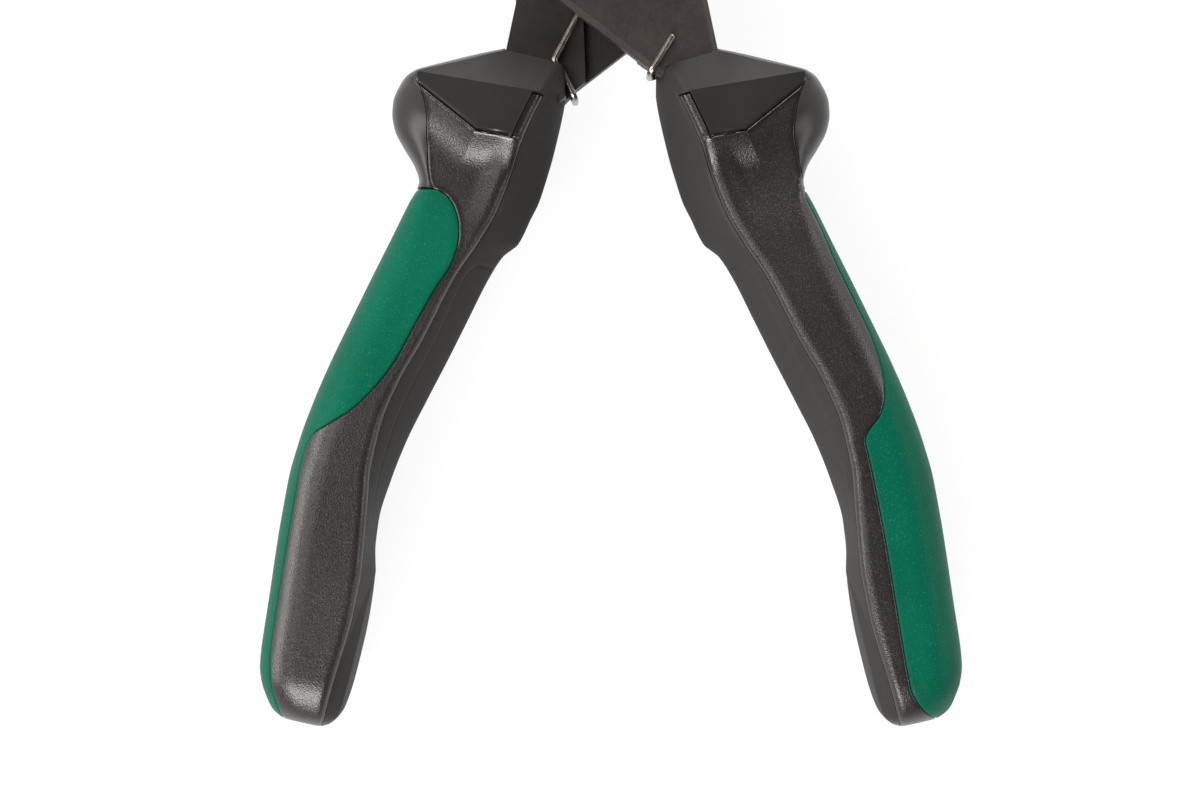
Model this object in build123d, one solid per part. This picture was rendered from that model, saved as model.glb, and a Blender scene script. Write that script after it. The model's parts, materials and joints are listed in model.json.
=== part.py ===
from build123d import *
import math
import os

# Long nose pliers with two-colour handles and a return spring.
# Millimetres and degrees. X runs across the handles, Y towards the nose, Z along the pivot.
# Each arm is drawn closed around the pivot, as the arm whose handle lies at +X,
# and the other arm is the same kind of piece turned half a turn about Y.

# overall sizes
nose_length = 76.0
handle_length = 127.0
handle_reach = 32.5
opening_angle = 19.0
joint_radius = 13.2
joint_thickness = 10.0

# running clearances
lap_gap = 0.05
jaw_gap = 0.10
joint_clearance = 0.35
pin_clearance = 0.05

# jaws
nose_root_width = 12.4
nose_tip_width = 2.1
nose_tip_thickness = 3.4
taper_start = 20.0
nose_start = 8.0
nose_bow = 0.7
cutter_start = 13.8
cutter_end = 27.5
cutter_bevel = 2.3
relief_y = 30.0
relief_radius = 1.7
teeth_start = 32.6
tooth_pitch = 1.25
tooth_depth = 0.35

# tangs
edge_slope = 47.0
front_edge_distance = 16.7
rear_edge_distance = 18.9
front_corner_x = 0.6
rear_corner_x = 0.4
front_seat_x = 2.05
rear_seat_x = 1.15
seat_drop = 1.2
lap_side_x = 11.9
recess_wall = 5.4
recess_bottom = 30.0
edge_bevel = 0.8
tang_full_end = 33.0
insert_thickness = 7.0
insert_length = 108.0

# rivet
shank_radius = 3.0
head_radius = 4.8
head_depth = 1.2
head_rise = 0.35
head_dome = 0.25

# return spring
wire_diameter = 1.0
coil_radius = 3.7
leg_height = 0.88
leg_room = 0.45
leg_lead = 1.2
leg_length = 25.2
leg_swing_room = 7.0
bend_radius = 1.0
wire_seat_gap = 0.05
wire_edge_gap = 0.24
front_turn = (3.5, -26.2)
front_end = (5.4, -21.9)
rear_turn = (3.2, -25.6)
rear_end = (4.2, -22.2)
wire_room_depth = 1.7

# handles
guard_thickness = 22.0
neck_thickness = 17.3
skin = 1.6
ridge_y = 37.5
ridge_corner_x = 13.7
ridge_end_x = 22.7
ridge_end_y = 32.5
fold_y = 30.7
ramp_foot_y = 25.0
ramp_foot_z = 5.6
scoop_run = 4.6
splay = 0.0075
splay_y = 84.0
guard_corner_y = 27.4

half_opening = opening_angle / 2
half_joint = joint_thickness / 2
half_guard = guard_thickness / 2
half_neck = neck_thickness / 2
length_scale = handle_length / 127.0
reach_scale = handle_reach / 32.5

# One row per station along the handle, as distances below the pivot and from the middle line:
# (down, inner side, inner edge of the face, outer edge of the face, outer side, half thickness)
# The last number is a share of the guard's half thickness.
handle_rows = [
    (20.0, 1.8, 2.4, 20.6, 25.0, 1.04),
    (27.0, 2.1, 3.1, 21.2, 25.8, 1.04),
    (31.0, 2.2, 4.8, 21.5, 26.4, 1.04),
    (34.8, 2.2, 6.0, 20.8, 27.0, 1.04),
    (38.5, 2.6, 6.9, 19.4, 26.0, 1.02),
    (42.5, 3.0, 7.6, 19.6, 23.1, 0.86),
    (46.5, 3.6, 8.3, 19.6, 21.5, 0.79),
    (52.0, 5.6, 10.2, 21.2, 22.9, 0.80),
    (59.0, 9.1, 13.0, 23.3, 25.1, 0.87),
    (68.5, 11.9, 16.1, 26.2, 27.9, 0.96),
    (79.5, 15.3, 19.4, 28.9, 30.7, 1.02),
    (91.0, 17.9, 20.5, 30.6, 32.4, 1.03),
    (103.0, 17.9, 19.8, 30.7, 32.5, 1.01),
    (112.0, 17.8, 19.9, 30.6, 32.3, 0.97),
    (119.0, 18.2, 20.9, 30.4, 32.0, 0.92),
    (124.0, 18.9, 21.8, 28.4, 30.4, 0.84),
    (128.0, 20.0, 23.0, 26.0, 28.0, 0.72),
]


def at(x, y):
    """A point on the handle: x across and y down the handle, both following the handle sizes."""
    return ((x + splay * (y - splay_y)) * reach_scale, -y * length_scale)


def turn(shape, angle):
    return shape.rotate(Axis.Z, angle)


def other_side(shape):
    """The piece for the other arm: half a turn about the long axis."""
    return shape.rotate(Axis.Y, 180)


def slab(face, low, high):
    """A flat outline in XY made solid from z = low to z = high."""
    return extrude(face.moved(Location((0, 0, low))), high - low, dir=(0, 0, 1))


def outline(points):
    return make_face(Polyline(*points, close=True))


def edge_line(distance):
    """The straight lower edge of a lap plate, as its normal and two far points on it."""
    angle = math.radians(edge_slope)
    normal = Vector(-math.sin(angle), -math.cos(angle))
    along = Vector(math.cos(angle), -math.sin(angle))
    foot = normal * distance
    return normal, along, foot


def half_plane(distance, side):
    """A large square on one side of the plate edge line: side -1 towards the pivot, +1 away."""
    normal, along, foot = edge_line(distance)
    reach = 80.0
    corners = [foot + along * reach, foot - along * reach]
    corners.append(corners[1] + normal * reach * side)
    corners.append(corners[0] + normal * reach * side)
    return outline([(c.X, c.Y) for c in corners])


def tang_outline(edge_distance, corner_x, seat_x):
    """The tang from the joint down into the handle."""
    normal, along, foot = edge_line(edge_distance)
    corner = foot + along * ((corner_x - foot.X) / along.X)
    side = math.radians(8.0)
    outer = [(joint_radius * math.cos(side), -joint_radius * math.sin(side))]
    outer += [(11.3, -17.3), (11.6, -24.4)]
    outer += [at(12.4, 32.0), at(15.0, 44.0), at(18.5, 56.0), at(22.3, 70.0)]
    outer += [at(25.3, 82.0), at(26.6, 94.0), at(27.0, insert_length)]
    inner = [at(23.4, insert_length), at(21.6, 92.0), at(19.4, 80.0), at(15.4, 66.0)]
    inner += [at(11.2, 54.0), at(7.8, 44.0), at(5.6, 35.5), (seat_x + 2.3, corner.Y - 4.5)]
    inner += [(seat_x, corner.Y - seat_drop), (corner.X, corner.Y)]
    lap_corner = foot + along * ((-lap_side_x - foot.X) / along.X)
    side_top = (-outer[0][0], outer[0][1])
    return outline(outer + inner + [(-lap_side_x, lap_corner.Y), side_top, (0.0, 0.0)])


def jaw_side(share):
    """Width of one jaw at a share of the way from the joint to the tip."""
    bow = nose_bow * math.sin(math.pi * share)
    return nose_root_width + (nose_tip_width - nose_root_width) * share - bow


def jaw_outline():
    """The plan of one jaw, on the far side of the middle line from its own handle."""
    face_x = -jaw_gap / 2
    points = []
    for step in range(7):
        share = step / 6
        points.append((-jaw_side(share), nose_start + (nose_length - nose_start) * share))
    side = Spline(*points)
    root = Line((-joint_radius, 1.0), points[0])
    foot = Polyline(points[-1], (face_x, nose_length), (face_x, 1.0), (-joint_radius, 1.0))
    return make_face([root, side, foot])


def nose_round():
    """The half-round outside of the nose: elliptical sections getting smaller towards the tip."""
    sections = []
    for share in (0.0, 0.35, 0.7, 1.03):
        y = taper_start + (nose_length - taper_start) * share
        width_share = (y - nose_start) / (nose_length - nose_start)
        wide = jaw_side(width_share) * (1.10 - 0.06 * share)
        tall = half_joint * 1.30 + (nose_tip_thickness / 2 * 1.12 - half_joint * 1.30) * share
        plane = Plane(origin=(0, y, 0), x_dir=(1, 0, 0), z_dir=(0, 1, 0))
        sections.append(plane * Ellipse(max(wide, 0.8), tall))
    return loft(sections)


def nose_taper():
    """Side view of the nose: full thickness at the joint, thin at the tip."""
    tip = nose_tip_thickness / 2
    reach = nose_length + 5.0
    profile = Polyline(
        (0, -5.0, half_joint),
        (0, taper_start, half_joint),
        (0, reach, tip),
        (0, reach, -tip),
        (0, taper_start, -half_joint),
        (0, -5.0, -half_joint),
        close=True,
    )
    return extrude(make_face(profile), 40.0, dir=(-1, 0, 0))


def teeth():
    """A comb of cross grooves in the gripping face."""
    face_x = -jaw_gap / 2
    count = int((nose_length - 1.0 - teeth_start) / tooth_pitch)
    points = [(2.0, teeth_start), (face_x, teeth_start)]
    for number in range(count):
        y = teeth_start + number * tooth_pitch
        points.append((face_x - tooth_depth, y + tooth_pitch / 2))
        points.append((face_x, y + tooth_pitch))
    points.append((2.0, teeth_start + count * tooth_pitch))
    return slab(outline(points), -half_joint - 1, half_joint + 1)


def cutter_wedge(side):
    """The slope ground on one side of the cutting edge."""
    face_x = -jaw_gap / 2
    tall = half_joint + 0.5
    profile = Polyline(
        (face_x, cutter_start, 0),
        (1.0, cutter_start, 0),
        (1.0, cutter_start, tall * side),
        (face_x - cutter_bevel, cutter_start, tall * side),
        close=True,
    )
    return extrude(make_face(profile), cutter_end - cutter_start, dir=(0, 1, 0))


def jaw():
    body = slab(jaw_outline(), -half_joint, half_joint) & nose_taper()
    whole = slab(outline([(-30, -5), (5, -5), (5, taper_start), (-30, taper_start)]), -9, 9)
    body = (body & whole) + (body & nose_round())
    body -= teeth()
    body -= cutter_wedge(1)
    body -= cutter_wedge(-1)
    body -= Pos(0, relief_y, 0) * Cylinder(relief_radius, joint_thickness + 2)
    return body


def leg_line():
    """Where a spring leg leaves the coil, open pose: tangent point and direction."""
    angle = math.radians(-28.0)
    point = Vector(coil_radius * math.cos(angle), coil_radius * math.sin(angle))
    direction = Vector(math.sin(angle), -math.cos(angle))
    return point, direction


def leg_pocket():
    """Room in a lap plate for the other arm's spring leg over the whole travel."""
    point, direction = leg_line()
    normal = Vector(direction.Y, -direction.X)
    room = wire_diameter / 2 + leg_room
    first = [point + normal * room, point + direction * 30.0 + normal * room]
    last = [point + direction * 30.0 - normal * room, point - normal * room]
    corners = [turned(c, -half_opening) for c in first]
    corners += [turned(c, half_opening + leg_swing_room) for c in last]
    depth = leg_height + room
    return slab(outline([(c.X, c.Y) for c in corners]), -1.0, depth)


def bevelled(body):
    """The slope ground along the outside edges of the lap plate and the tang's face."""
    edges = body.edges().filter_by_position(Axis.Z, half_joint - 0.01, half_joint + 0.01)
    chosen = []
    for edge in edges:
        middle = edge.center()
        if -tang_full_end + 1.0 < middle.Y < -1.0 and edge.length > 1.0:
            chosen.append(edge)
    return chamfer(chosen, edge_bevel)


def turned(vector, angle):
    spread = math.radians(angle)
    x = vector.X * math.cos(spread) - vector.Y * math.sin(spread)
    y = vector.X * math.sin(spread) + vector.Y * math.cos(spread)
    return Vector(x, y)


def arm(edge_distance, other_edge_distance, corner_x, seat_x, hole_radius, head_room):
    """One forged arm, closed: lap plate at +Z, tang at +X, jaw at -X."""
    shape = tang_outline(edge_distance, corner_x, seat_x)
    kept = shape & half_plane(edge_distance, -1)
    plate = slab(Circle(joint_radius).face(), lap_gap / 2, half_joint)
    plate += slab(kept, lap_gap / 2, half_joint)
    above = outline([(-40, 40), (60, 40), (60, -tang_full_end), (-40, -tang_full_end)])
    tang = slab(shape, -half_joint, half_joint) & slab(above, -9, 9)
    tang += slab(shape, -insert_thickness / 2, insert_thickness / 2)
    shoulder = other_edge_distance + joint_clearance
    recess = slab(half_plane(shoulder, -1), -20, lap_gap / 2)
    wall = outline([(-30, 0), (recess_wall, 0), (recess_wall, -recess_bottom), (-30, -recess_bottom)])
    recess += slab(wall, -20, lap_gap / 2)
    tang -= recess
    upper = jaw()
    clear = Cylinder(joint_radius + joint_clearance, joint_thickness * 2)
    below = slab(outline([(-30, -10), (5, -10), (5, 6), (-30, 6)]), -20, lap_gap / 2)
    rear_cut = clear & slab(outline([(-40, -40), (40, -40), (40, 40), (-40, 40)]), -20, lap_gap / 2)
    upper -= rear_cut
    upper -= below
    body = bevelled(plate + tang + upper)
    body -= Cylinder(hole_radius, joint_thickness * 2)
    seat = half_joint - head_depth
    body -= slab(Circle(head_radius + head_room).face(), seat, half_joint + 5)
    room = wire_diameter / 2 + leg_room
    body -= slab(Circle(coil_radius + room + 0.1).face(), -1, leg_height + room)
    body -= leg_pocket()
    return body


def rivet():
    """The pivot: a shank with a low domed head let into each lap plate."""
    body = Cylinder(shank_radius, joint_thickness - 2 * head_depth)
    for side in (1, -1):
        low = half_joint - head_depth
        head = slab(Circle(head_radius).face(), low, half_joint + head_rise)
        rim = head.edges().group_by(Axis.Z)[-1]
        head = chamfer(rim, head_dome)
        if side < 0:
            head = other_side(head)
        body += head
    return body


def hook(corner_y, seat_x, turn_at, end):
    """Bends round the tang's inner edge and the short end on its face, drawn closed as the +X arm."""
    face = half_joint + wire_diameter / 2 + wire_seat_gap
    over = (seat_x - wire_diameter / 2 - wire_edge_gap, corner_y - seat_drop - 0.30)
    points = [(turn_at[0], turn_at[1], -leg_height), (over[0], over[1], -leg_height)]
    return points + [(over[0], over[1], face), (end[0], end[1], face)]


def round_bar(first, last):
    plane = Plane(origin=first, z_dir=(last - first).normalized())
    return extrude(plane * Circle(wire_diameter / 2), (last - first).length)


def bent_wire(points):
    """Round wire along straight runs, with a circular bend at each inner corner."""
    vectors = [Vector(*p) for p in points]
    start = vectors[0]
    body = None
    for before, corner, after in zip(vectors, vectors[1:], vectors[2:]):
        inward = (corner - before).normalized()
        outward = (after - corner).normalized()
        angle = math.acos(max(-1.0, min(1.0, inward.dot(outward))))
        reach = bend_radius * math.tan(angle / 2)
        bend_start = corner - inward * reach
        bar = round_bar(start, bend_start)
        axis = inward.cross(outward).normalized()
        centre = bend_start + axis.cross(inward) * bend_radius
        ring = Plane(origin=bend_start, z_dir=inward) * Circle(wire_diameter / 2)
        bend = revolve(ring, axis=Axis(centre, axis), revolution_arc=math.degrees(angle))
        body = bar + bend if body is None else body + bar + bend
        start = corner + outward * reach
    return body + round_bar(start, vectors[-1])


def edge_corner_y(distance, corner_x):
    normal, along, foot = edge_line(distance)
    return (foot + along * ((corner_x - foot.X) / along.X)).Y


def coil_path():
    """The turns round the shank, running level on to both legs."""
    turns = (208.0 + 28.0 + 360.0) / 360.0
    steps = 30
    point, direction = leg_line()
    ends = [point + direction * leg_lead * share for share in (1.0, 0.5)]
    points = [(-end.X, end.Y, -leg_height) for end in ends]
    for step in range(steps + 1):
        share = step / steps
        angle = math.radians(208.0 - share * turns * 360.0)
        rise = share - 0.012 * math.sin(2 * math.pi * share)
        z = leg_height * (2 * rise - 1)
        points.append((coil_radius * math.cos(angle), coil_radius * math.sin(angle), z))
    points += [(end.X, end.Y, leg_height) for end in reversed(ends)]
    return Spline(*points)


def leg_and_hook(path, side):
    """One side of the wire in the open pose, from the coil outwards."""
    if side > 0:
        corner_y = edge_corner_y(front_edge_distance, front_corner_x)
        local = hook(corner_y, front_seat_x, front_turn, front_end)
    else:
        corner_y = edge_corner_y(rear_edge_distance, rear_corner_x)
        local = hook(corner_y, rear_seat_x, rear_turn, rear_end)
    start = path @ 0
    heading = (path % 0) * -1
    points = [start, start + heading * leg_length]
    for x, y, z in local:
        spot = turned(Vector(x, y), half_opening)
        points.append((spot.X, spot.Y, z))
    body = bent_wire(points)
    return other_side(body) if side < 0 else body


def return_spring():
    """One wire: end leg, hook, leg, coil round the shank, leg, hook, end leg, in the open pose."""
    path = coil_path()
    plane = Plane(origin=path @ 0, z_dir=path % 0)
    coil = sweep(plane * Circle(wire_diameter / 2), path=path, is_frenet=True)
    return coil + leg_and_hook(path, 1) + leg_and_hook(path, -1)


def handle_section(row, inset, thickness):
    """A slice across the handle: flat faces and bowed sides."""
    down, inner, face_in, face_out, outer, share = row
    y = -down * length_scale
    inner = at(inner, down)[0] + inset
    outer = at(outer, down)[0] - inset
    face_in = at(face_in, down)[0] + inset * 0.6
    face_out = at(face_out, down)[0] - inset * 0.6
    tall = thickness
    front = Line((face_in, y, tall), (face_out, y, tall))
    far = ThreePointArc((face_out, y, tall), (outer, y, 0), (face_out, y, -tall))
    back = Line((face_out, y, -tall), (face_in, y, -tall))
    near = ThreePointArc((face_in, y, -tall), (inner, y, 0), (face_in, y, tall))
    return make_face([front, far, back, near])


def handle_outline():
    """Plan of the handle, trimming the rounded shoulder of the guard and the lower end."""
    top = [(-3.0, -guard_corner_y), (2.4, -guard_corner_y), (3.1, -guard_corner_y + 1.5), (11.6, -24.5)]
    top += [at(14.7, 25.4), at(18.2, 26.9), at(21.1, 28.3), at(24.0, 29.7)]
    shoulder = ThreePointArc(top[-1], at(26.1, 31.9), at(27.4, 35.0))
    side = Polyline(at(27.4, 35.0), at(40.0, 45.0), at(40.0, 118.0), at(32.2, 118.0))
    corner = ThreePointArc(at(32.2, 118.0), at(30.4, 123.8), at(25.6, 126.8))
    end = Line(at(25.6, 126.8), at(22.2, 127.0))
    heel = ThreePointArc(at(22.2, 127.0), at(19.8, 125.8), at(18.5, 122.0))
    close = Polyline(at(18.5, 122.0), at(-3.0, 122.0), top[0])
    return make_face([Polyline(*top), shoulder, side, corner, end, heel, close])


def ramp_cut():
    """The slope from the tang up to the fold line, on both faces."""
    low = -ramp_foot_y * length_scale
    fold = -fold_y * length_scale
    cut = None
    for side in (1, -1):
        profile = Polyline(
            (-5, fold, half_guard * side),
            (-5, low + 6.0, (ramp_foot_z - 6.0 * (half_guard - ramp_foot_z) / (low - fold)) * side),
            (-5, low + 6.0, (half_guard + 5) * side),
            (-5, fold, (half_guard + 5) * side),
            close=True,
        )
        wedge = extrude(make_face(profile), 60.0, dir=(1, 0, 0))
        cut = wedge if cut is None else cut + wedge
    return cut


def scoop(side):
    """The hollow below the ridge: a concave slope running down to the neck, in two directions."""
    depth = half_guard - half_neck
    run = scoop_run
    middle = (run * 0.36, half_guard - depth * 0.68)
    arc = ThreePointArc((0, half_guard), middle, (run, half_neck))
    rest = Polyline((run, half_neck), (30.0, half_neck), (30.0, half_guard + 6), (0, half_guard + 6), (0, half_guard))
    profile = make_face([arc, rest])
    corner = at(ridge_corner_x, ridge_y)
    end = at(ridge_end_x, ridge_end_y)
    first_plane = Plane(origin=(corner[0] + 40, corner[1], 0), x_dir=(0, -1, 0), z_dir=(-1, 0, 0))
    first = extrude(first_plane * profile, 80.0)
    along = Vector(end[0] - corner[0], end[1] - corner[1]).normalized()
    down = Vector(along.Y, -along.X)
    origin = Vector(corner[0], corner[1]) - along * 60.0
    second_plane = Plane(origin=(origin.X, origin.Y, 0), x_dir=(down.X, down.Y, 0), z_dir=(along.X, along.Y, 0))
    second = extrude(second_plane * profile, 120.0)
    if first.bounding_box().max.Z < 0:
        first = first.mirror(Plane.XY)
    if second.bounding_box().max.Z < 0:
        second = second.mirror(Plane.XY)
    both = first + second
    if side < 0:
        both = both.mirror(Plane.XY)
    limit = slab(outline([at(-5, 30), at(40, 30), at(40, 46), at(-5, 46)]), -30, 30)
    return both & limit


def handle_outer():
    rows = []
    for row in handle_rows:
        rows.append(handle_section(row, 0.0, half_guard * row[5]))
    body = loft(rows) & slab(handle_outline(), -half_guard, half_guard)
    body -= ramp_cut()
    body -= scoop(1)
    body -= scoop(-1)
    return body


def handle_inner():
    """The core's own shape under the soft cover."""
    rows = []
    for row in handle_rows[3:-1]:
        tall = min(half_guard * row[5], half_neck if row[0] < 50 else half_guard) - skin
        rows.append(handle_section(row, skin, tall))
    return loft(rows)


def cover_region():
    """Plan of the soft cover: from the ridge down, outside the smooth inner side, which runs to the end."""
    points = [at(7.0, ridge_y), at(ridge_corner_x, ridge_y), at(ridge_end_x, ridge_end_y)]
    points += [at(21.4, 36.0), at(20.5, 39.0), at(20.3, 45.4), at(45.0, 46.2), at(45.0, 135.0)]
    points += [at(22.3, 135.0), at(22.3, 127.0), at(21.5, 121.5), at(20.9, 117.4)]
    points += [at(19.8, 109.3), at(19.9, 99.9)]
    edge = [at(20.6, 92.5), at(20.8, 87.8), at(20.4, 81.9), at(18.4, 74.7), at(16.0, 68.6)]
    edge += [at(13.1, 58.6), at(10.7, 53.4), at(8.8, 48.6), at(8.1, 45.2), at(7.3, 40.9)]
    return outline(points + edge)


def front_colour_region():
    """Plan of the coloured inlay on the first face: narrow above, wide below."""
    points = [at(21.2, 46.6), at(20.4, 48.3), at(22.2, 52.9), at(23.2, 58.1), at(25.0, 64.2)]
    points += [at(26.7, 70.3), at(27.2, 75.0), at(27.0, 78.0), at(25.6, 81.0), at(22.9, 82.7)]
    points += [at(22.4, 84.2), at(22.9, 88.0), at(23.1, 98.7), at(23.0, 116.1), at(22.8, 120.4)]
    points += [at(24.0, 122.4), at(26.4, 124.6), at(25.7, 135.0), at(45.0, 135.0), at(45.0, 46.6)]
    return outline(points)


def rear_colour_region():
    """Plan of the coloured inlay on the other face: wide above, narrow below."""
    points = [at(20.6, 46.6), at(18.1, 46.6), at(16.4, 47.4), at(14.9, 48.9), at(13.8, 51.5)]
    points += [at(13.4, 53.8), at(13.8, 56.9), at(15.5, 60.6), at(17.8, 67.4), at(19.2, 72.0)]
    points += [at(21.3, 75.9), at(24.4, 80.1), at(27.4, 82.6), at(30.1, 84.4), at(30.4, 88.3)]
    points += [at(30.4, 94.1), at(30.2, 105.7), at(30.2, 115.8), at(29.6, 120.1), at(27.9, 122.7)]
    points += [at(25.0, 125.0), at(25.0, 135.0), at(45.0, 135.0), at(45.0, 46.6)]
    return outline(points)


def wire_room():
    """Space under the guard's corner where the spring leg turns round the tang."""
    bottom = min(front_turn[1], rear_turn[1]) - wire_diameter / 2 - wire_room_depth
    points = [(-3, -20), (recess_wall, -20), (recess_wall, bottom), (-3, bottom)]
    return slab(outline(points), -half_joint, lap_gap / 2)


def mouldings():
    """The mouldings of one handle, closed on the +X side, the core still without its hole."""
    outer = handle_outer()
    covered = (outer - handle_inner()) & slab(cover_region(), -30, 30)
    colour = slab(front_colour_region(), 0, 30) + slab(rear_colour_region(), -30, 0)
    inlay = covered & colour
    return outer - covered, covered - inlay, inlay


def build():
    right_arm = arm(
        front_edge_distance,
        rear_edge_distance,
        front_corner_x,
        front_seat_x,
        shank_radius + pin_clearance,
        0.08,
    )
    left_arm = arm(
        rear_edge_distance,
        front_edge_distance,
        rear_corner_x,
        rear_seat_x,
        shank_radius,
        0.0,
    )
    blank, cover, inlay = mouldings()
    pieces = {}
    for name, body, flip in (("right", right_arm, False), ("left", left_arm, True)):
        core = blank - body - wire_room()
        group = {"arm": body, "handle_core": core, "soft_cover": cover, "colour_inlay": inlay}
        for part, shape in group.items():
            placed = turn(shape, half_opening)
            if flip:
                placed = other_side(placed)
            pieces[name + "_" + part] = placed
    pieces["pivot_rivet"] = rivet()
    pieces["return_spring"] = return_spring()
    return pieces


def main():
    pieces = build()
    box = Compound(children=[Compound(s.wrapped) for s in pieces.values()]).bounding_box()
    shift = Location((-(box.min.X + box.max.X) / 2, -(box.min.Y + box.max.Y) / 2, -box.min.Z))
    os.makedirs("parts", exist_ok=True)
    for name, shape in pieces.items():
        export_step(shape.moved(shift), "parts/" + name + ".step")
    place = shift.position
    print("pivot at", round(place.X, 3), round(place.Y, 3), round(place.Z, 3))
    for name, shape in pieces.items():
        solids = shape.solids()
        print(name, "solids", len(solids), "volume", round(sum(s.volume for s in solids), 1))


main()
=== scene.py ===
import bpy
import json
import math
import numpy as np
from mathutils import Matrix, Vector


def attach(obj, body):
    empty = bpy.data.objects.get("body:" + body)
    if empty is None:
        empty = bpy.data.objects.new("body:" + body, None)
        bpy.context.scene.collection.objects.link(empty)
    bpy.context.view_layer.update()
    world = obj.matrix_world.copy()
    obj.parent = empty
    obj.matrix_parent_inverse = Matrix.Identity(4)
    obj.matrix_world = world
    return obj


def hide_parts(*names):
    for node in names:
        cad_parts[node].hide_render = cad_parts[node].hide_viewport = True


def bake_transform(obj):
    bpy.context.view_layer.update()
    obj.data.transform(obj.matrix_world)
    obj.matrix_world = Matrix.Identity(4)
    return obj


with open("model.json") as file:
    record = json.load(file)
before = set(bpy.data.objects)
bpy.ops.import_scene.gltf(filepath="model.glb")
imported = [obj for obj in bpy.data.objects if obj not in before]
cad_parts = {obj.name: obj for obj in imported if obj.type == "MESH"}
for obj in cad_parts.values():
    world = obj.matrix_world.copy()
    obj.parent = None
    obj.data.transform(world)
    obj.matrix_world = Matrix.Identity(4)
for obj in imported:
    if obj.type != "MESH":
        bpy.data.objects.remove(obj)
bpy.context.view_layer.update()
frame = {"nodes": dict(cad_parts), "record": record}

# Long nose pliers with two-colour handles and a return spring.
# Shapes are worked out in millimetres on one closed arm, with the pivot at the origin,
# x out to the handle, y up to the nose and z along the pivot. "down" is the distance below the pivot.

PIVOT = np.array(frame["record"]["behaviour"]["joints"][0]["pos_m"])
MILLIMETRE = 0.001
HALF_OPENING = math.radians(9.5)

# The handles lean out with the distance down, from just below the slope's top.
LEAN = 0.0075
LEAN_MIDDLE = 84.0
LEAN_START = 25.5
LEAN_RUN = 4.0

# rows down the handle
TOP_ROW = 25.0
FOLD_ROW = 30.7
STRIP_ROW = 31.0
RIDGE_ROW = 37.5
NECK_ROW = 46.0
SCOOP_END = 46.4
COLOUR_ROW = 46.6
WAIST_ROW = 103.4
END_START = 118.5
END_ROW = 127.3

# guard, ridge and scoops
GUARD_HEIGHT = 11.0
SLOPE = 1.25
SLOPE_EASING = 0.0235
SLOPE_CORNER_X = 3.0
RIDGE_CORNER_X = 13.7
RIDGE_SLOPE = (0.485, 0.874)
RIDGE_ROUND = 0.25
RIDGE_BEND = 0.55
RIDGE_GROOVE_WIDTH = 0.24
RIDGE_END_X = 23.4
RIDGE_END_RUN = 1.2
SCOOP_RUN = 5.6
HOLLOW_DEPTH = 0.8
HOLLOW_EDGE_X = 8.0
HOLLOW_SLANT = 0.2
HOLLOW_SIDE = 3.2
HOLLOW_END = 43.5
HOLLOW_RUN = 10.0

# seam, inner side, outer side and rounded lower end
END_POWER = 2.3
EDGE_ROUND = 1.6
GROOVE_DEPTH = 0.30
GROOVE_WIDTH = 0.33
SIDE_BULGE = 0.42
CUT_WALL = 0.64
CUT_FOOT = 0.30
CREASE_PLACE = 0.55
CREASE_RUN = 3.0
BULGE_ROW = 37.0
BULGE_RUN = 5.0
SIDE_POWER = 2.3
SIDE_ROW = 43.0
SIDE_RUN = 6.0
GUARD_FULLNESS = 0.62
INWARD_START = 0.40
INWARD_RUN = 0.35

# skins of the cover and the inlay, and the beds under them
COVER_THICKNESS = 1.1
COVER_SINK = 1.25
OUTER_REACH = 7.0
LIP_RADIUS = 0.40
RIDGE_LIP = 0.8
RIM_WIDTH = 1.3
RIM_FADE = 0.6
RIM_FADE_ROW = 55.0
RIM_FADE_RUN = 20.0

# top of the moulding beside the tang
CLOSURE_ROW = 28.4
CLOSURE_X = 3.6
CLOSURE_NARROWING = 0.72
TANG_HALF = 4.8

# return spring
WIRE_RADIUS = 0.5
WIRE_GAP = 0.05
COIL_RADIUS = 3.7
LEG_ANGLE = 28.0
LEG_HEIGHT = 0.88
LEG_LENGTH = 24.2
BEND_RADIUS = 1.0
TANG_FACE = 5.0
EDGE_SLOPE = 47.0
SEAT_SIDE = 0.74
SEAT_DROP = 1.2
SEAT_REST = 0.30

# the point that the lamps aim at, in metres
LAMP_AIM = (0.0, -0.03, 0.01)

# Lines that run down the handle, as (row, across, down): each row of the surface crosses all of them.
INNER_SIDE = [
    (25.0, 2.45, 26.0), (30.7, 2.12, 31.2), (37.5, 2.45, 38.3), (42.0, 2.9, 42.4), (45.5, 3.35, 45.5),
    (48.4, 4.2, 48.4), (50.7, 4.8, 50.7), (52.3, 5.4, 52.3), (53.2, 6.2, 53.2), (54.3, 7.2, 54.3),
    (58.1, 8.8, 58.1), (64.4, 10.7, 64.4), (70.7, 12.6, 70.7), (77.0, 14.6, 77.0), (83.3, 16.5, 83.3),
    (89.5, 17.8, 89.5), (95.6, 18.6, 95.6), (99.3, 18.5, 99.3), (102.1, 17.95, 102.1),
    (103.4, 17.7, 103.4), (110.3, 17.8, 110.3), (116.3, 18.1, 116.3), (121.0, 18.5, 121.2),
    (124.5, 19.1, 124.4), (127.3, 20.5, 126.3),
]
SEAM = [
    (25.0, 3.2, 25.35), (30.7, 5.0, 30.7), (37.5, 6.95, 37.8), (42.0, 7.6, 42.2), (45.5, 8.2, 45.5),
    (48.6, 8.9, 48.6), (53.4, 10.7, 53.4), (58.6, 13.0, 58.6), (68.6, 16.1, 68.6), (74.7, 18.3, 74.7),
    (81.9, 19.9, 81.9), (87.8, 20.2, 87.8), (92.5, 19.8, 92.5), (99.9, 19.15, 99.9),
    (103.4, 18.95, 103.4), (109.3, 19.1, 109.3), (117.4, 20.0, 117.4), (121.5, 20.5, 121.6),
    (124.5, 20.9, 124.9), (127.3, 21.5, 126.75),
]
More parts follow.
